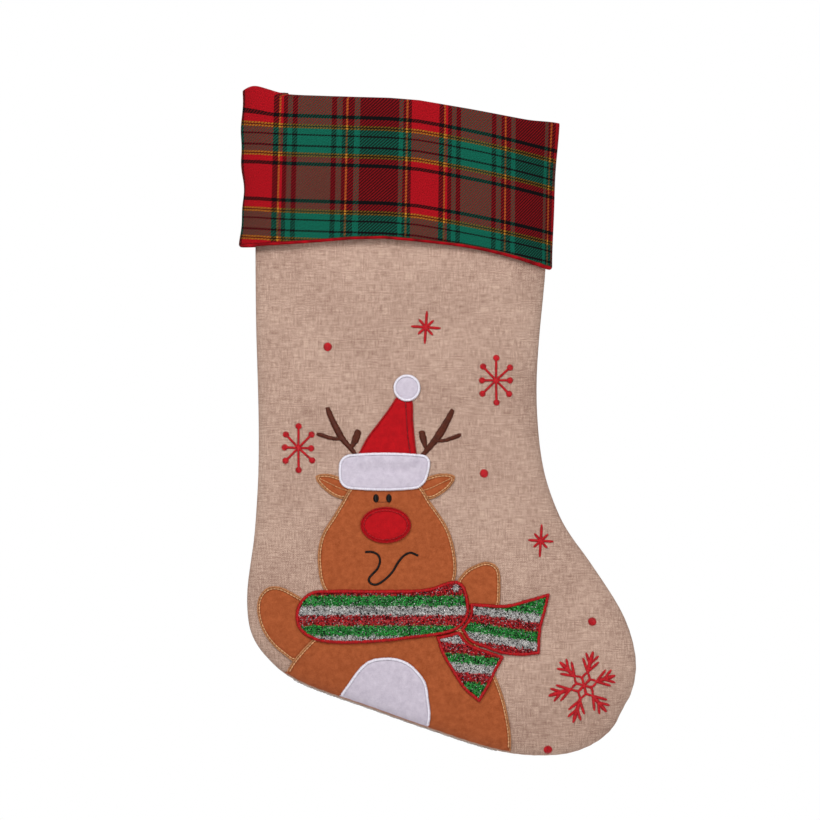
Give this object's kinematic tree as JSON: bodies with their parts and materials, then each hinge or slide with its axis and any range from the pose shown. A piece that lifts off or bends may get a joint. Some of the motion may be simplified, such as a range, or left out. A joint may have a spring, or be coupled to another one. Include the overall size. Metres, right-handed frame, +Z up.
{
  "type": "christmas stocking",
  "caption": "Christmas stocking: lined linen body, turned-down tartan cuff, felt reindeer with hat and glitter scarf, embroidered snowflakes, and a cloth hanging loop that folds at the rim.",
  "frame": {"origin": "on the crease about which the hanging loop folds, at the back edge of the rim near its heel-side corner", "axes": "+X towards the toe, +Y towards the back, away from the decorated face, +Z up towards the rim"},
  "size_m": [0.273, 0.0482, 0.4591],
  "materials": {
    "linen": "woven linen-look cloth, matt",
    "lining": "thin plain cotton, matt",
    "backing": "non-woven stiffening cloth, matt",
    "seam_thread": "overlocked thread, matt",
    "tartan": "woven tartan twill, soft and matt",
    "brown_felt": "pressed felt, matt",
    "white_felt": "pressed felt, matt",
    "red_felt": "pressed felt, matt",
    "tan_thread": "embroidery thread, silky",
    "white_thread": "embroidery thread, silky",
    "red_thread": "embroidery thread, silky",
    "black_thread": "embroidery thread, silky",
    "brown_thread": "satin stitch, silky",
    "glitter_cloth": "striped cloth with glued glitter, sparkling",
    "red_satin": "dense satin stitch, silky"
  },
  "bodies": {
    "stocking": {"front_panel": "linen", "back_panel": "linen", "front_lining": "lining", "back_lining": "lining", "embroidery_backing": "backing", "overlocked_seam": "seam_thread", "cuff_front": "tartan", "cuff_back": "tartan", "cuff_front_facing": "tartan", "cuff_back_facing": "tartan", "loop_anchor": "tartan", "loop_bar_tack": "red_thread", "torso": "brown_felt", "torso_stitching": "tan_thread", "belly_patch": "white_felt", "belly_stitching": "white_thread", "left_arm": "brown_felt", "left_arm_stitching": "tan_thread", "right_arm": "brown_felt", "right_arm_stitching": "tan_thread", "head": "brown_felt", "head_stitching": "tan_thread", "left_ear": "brown_felt", "left_ear_stitching": "tan_thread", "right_ear": "brown_felt", "right_ear_stitching": "tan_thread", "nose": "red_felt", "nose_stitching": "red_thread", "left_eye": "black_thread", "right_eye": "black_thread", "mouth": "black_thread", "left_antler": "brown_thread", "right_antler": "brown_thread", "hat_cone": "red_felt", "hat_cone_stitching": "red_thread", "hat_brim": "white_felt", "brim_stitching": "white_thread", "hat_pompom": "white_felt", "pompom_stitching": "white_thread", "scarf_wrap": "glitter_cloth", "scarf_wrap_border": "red_satin", "scarf_upper_tail": "glitter_cloth", "upper_tail_border": "red_satin", "scarf_lower_tail": "glitter_cloth", "lower_tail_border": "red_satin", "snow_dots": "red_thread", "upper_star": "red_thread", "lower_star": "red_thread", "left_snowflake": "red_thread", "right_snowflake": "red_thread", "toe_snowflake": "red_thread"},
    "loop": {"hanging_loop": "tartan"}
  },
  "joints": [
    {"name": "loop_fold", "type": "hinge", "parent": "stocking", "child": "loop", "pos_m": [0, 0, 0], "axis": [1, 0, 0], "range_deg": [0, 180]}
  ]
}
